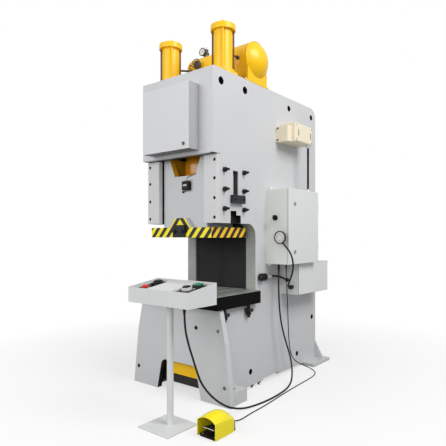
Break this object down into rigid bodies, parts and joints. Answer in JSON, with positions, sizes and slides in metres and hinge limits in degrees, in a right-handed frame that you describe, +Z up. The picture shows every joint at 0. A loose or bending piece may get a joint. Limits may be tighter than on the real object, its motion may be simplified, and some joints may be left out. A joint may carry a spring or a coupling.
{
  "type": "mechanical stamping press",
  "caption": "Gap-frame mechanical stamping press with geared crank drive, electric cabinet, push-button console on a post and hooded foot pedal.",
  "frame": {"origin": "middle of the four floor-bolt holes, on the floor", "axes": "+X to the operator's right, +Y to the back of the press, +Z up"},
  "size_m": [1.4013, 2.455, 3.166],
  "materials": {
    "frame_paint": "satin",
    "light_paint": "satin",
    "cabinet_paint": "satin",
    "amber_paint": "gloss",
    "yellow_paint": "gloss",
    "cream_paint": "satin",
    "dark_paint": "satin",
    "machined_iron": "machined",
    "steel": "machined",
    "black_oxide": "matte",
    "zinc_steel": "satin",
    "black_plastic": "matte",
    "red_plastic": "gloss",
    "green_plastic": "gloss",
    "belt_rubber": "matte",
    "cable_rubber": "satin"
  },
  "bodies": {
    "frame": {"side_frame_left": "frame_paint", "side_frame_right": "frame_paint", "head_shell": "frame_paint", "inner_walls": "frame_paint", "throat_cover": "dark_paint", "bed_plate": "frame_paint", "base_front_plate": "frame_paint", "floor_feet": "frame_paint", "rear_cover": "light_paint", "scrap_chute": "amber_paint", "bolster": "machined_iron", "gib_guides": "machined_iron", "gib_plates": "light_paint", "frame_bolts": "black_oxide", "stroke_stops": "steel", "shaft_bearings": "steel", "drive_belts": "belt_rubber", "motor": "cabinet_paint", "balance_cylinders": "amber_paint", "air_tank": "amber_paint", "tank_fittings": "zinc_steel", "cabinet_body": "cabinet_paint", "cabinet_gear": "zinc_steel", "terminal_box": "cabinet_paint", "cam_box": "cream_paint", "conduit": "zinc_steel", "air_inlet": "zinc_steel", "work_lamp": "black_plastic", "console_stand": "light_paint", "console_tray": "light_paint", "console_panel": "dark_paint", "pedal_base": "black_plastic", "pedal_hood": "yellow_paint", "cable_glands": "black_plastic", "console_cable": "cable_rubber", "pedal_cable": "cable_rubber"},
    "ram": {"ram": "light_paint", "shank_clamp": "black_oxide", "height_indicator": "black_plastic", "balance_rods": "steel"},
    "crank": {"crankshaft": "steel", "main_gear": "steel"},
    "rod": {"connecting_rod": "amber_paint", "adjusting_screw": "steel"},
    "pinion": {"pinion_shaft": "steel", "clutch_brake": "steel"},
    "flywheel": {"flywheel": "machined_iron"},
    "motor_rotor": {"motor_pulley": "machined_iron"},
    "cover": {"front_cover": "light_paint"},
    "cover_catch": {"cover_lock": "black_oxide"},
    "door": {"cabinet_door": "cabinet_paint"},
    "upper_catch": {"door_lock_upper": "black_oxide"},
    "lower_catch": {"door_lock_lower": "black_oxide"},
    "isolator": {"isolator_knob": "black_plastic"},
    "stop": {"stop_button": "red_plastic"},
    "palm_left": {"palm_button_left": "black_plastic"},
    "palm_right": {"palm_button_right": "green_plastic"},
    "inch": {"inch_button": "black_plastic"},
    "selector": {"selector_knob": "black_plastic"},
    "treadle": {"pedal_treadle": "black_oxide"}
  },
  "joints": [
    {"name": "ram_stroke", "type": "slide", "parent": "frame", "child": "ram", "axis": [0, 0, 1], "range_m": [-0.16, 0]},
    {"name": "crank_turn", "type": "hinge", "parent": "frame", "child": "crank", "pos_m": [0, -0.622, 2.305], "axis": [0, 1, 0], "range_deg": [-180, 0]},
    {"name": "rod_swing", "type": "hinge", "parent": "crank", "child": "rod", "pos_m": [0, -0.622, 2.385], "axis": [0, 1, 0], "range_deg": [0, 180]},
    {"name": "pinion_turn", "type": "hinge", "parent": "frame", "child": "pinion", "pos_m": [0, -0.212, 1.913], "axis": [0, 1, 0], "range_deg": [0, 800]},
    {"name": "flywheel_spin", "type": "hinge", "parent": "frame", "child": "flywheel", "pos_m": [0, 0.303, 1.913], "axis": [0, 1, 0], "continuous": true},
    {"name": "motor_spin", "type": "hinge", "parent": "frame", "child": "motor_rotor", "pos_m": [0, 0.303, 1.38], "axis": [0, 1, 0], "continuous": true},
    {"name": "front_cover_hinge", "type": "hinge", "parent": "frame", "child": "cover", "pos_m": [-0.273, -0.916, 2.3], "axis": [0, 0, 1], "range_deg": [-90, 0]},
    {"name": "cover_lock_turn", "type": "hinge", "parent": "cover", "child": "cover_catch", "pos_m": [0.208, -1.028, 2.082], "axis": [0, 1, 0], "range_deg": [0, 90]},
    {"name": "cabinet_door_hinge", "type": "hinge", "parent": "frame", "child": "door", "pos_m": [0.648, 0.412, 1.428], "axis": [0, 0, 1], "range_deg": [0, 110]},
    {"name": "door_lock_upper_turn", "type": "hinge", "parent": "door", "child": "upper_catch", "pos_m": [0.655, -0.045, 1.633], "axis": [1, 0, 0], "range_deg": [0, 90]},
    {"name": "door_lock_lower_turn", "type": "hinge", "parent": "door", "child": "lower_catch", "pos_m": [0.655, -0.045, 1.2], "axis": [1, 0, 0], "range_deg": [0, 90]},
    {"name": "isolator_turn", "type": "hinge", "parent": "frame", "child": "isolator", "pos_m": [0.515, -0.149, 1.508], "axis": [0, 1, 0], "range_deg": [0, 90]},
    {"name": "stop_press", "type": "slide", "parent": "frame", "child": "stop", "axis": [0, -0.151, 0.9885], "range_m": [-0.006, 0], "stiffness_N_per_m": 2000, "springref_m": 0.003},
    {"name": "palm_left_press", "type": "slide", "parent": "frame", "child": "palm_left", "axis": [0, -0.151, 0.9885], "range_m": [-0.006, 0], "stiffness_N_per_m": 2000, "springref_m": 0.003},
    {"name": "palm_right_press", "type": "slide", "parent": "frame", "child": "palm_right", "axis": [0, -0.151, 0.9885], "range_m": [-0.006, 0], "stiffness_N_per_m": 2000, "springref_m": 0.003},
    {"name": "inch_press", "type": "slide", "parent": "frame", "child": "inch", "axis": [0, -0.151, 0.9885], "range_m": [-0.006, 0], "stiffness_N_per_m": 2000, "springref_m": 0.003},
    {"name": "selector_turn", "type": "hinge", "parent": "frame", "child": "selector", "pos_m": [0.235, -1.377, 0.97492], "axis": [0, -0.151, 0.9885], "range_deg": [-45, 45]},
    {"name": "pedal_press", "type": "hinge", "parent": "frame", "child": "treadle", "pos_m": [0.752, -1.199, 0.034], "axis": [1, 0, 0], "range_deg": [0, 8], "stiffness_Nm_per_rad": 12, "springref_deg": -11.46}
  ],
  "couplings": [
    {"joint": "crank_turn", "follows": "ram_stroke", "rad_per_m": 19.63},
    {"joint": "rod_swing", "follows": "ram_stroke", "rad_per_m": -19.63},
    {"joint": "pinion_turn", "follows": "ram_stroke", "rad_per_m": -87.244},
    {"joint": "motor_spin", "follows": "flywheel_spin", "ratio": 4.938}
  ]
}
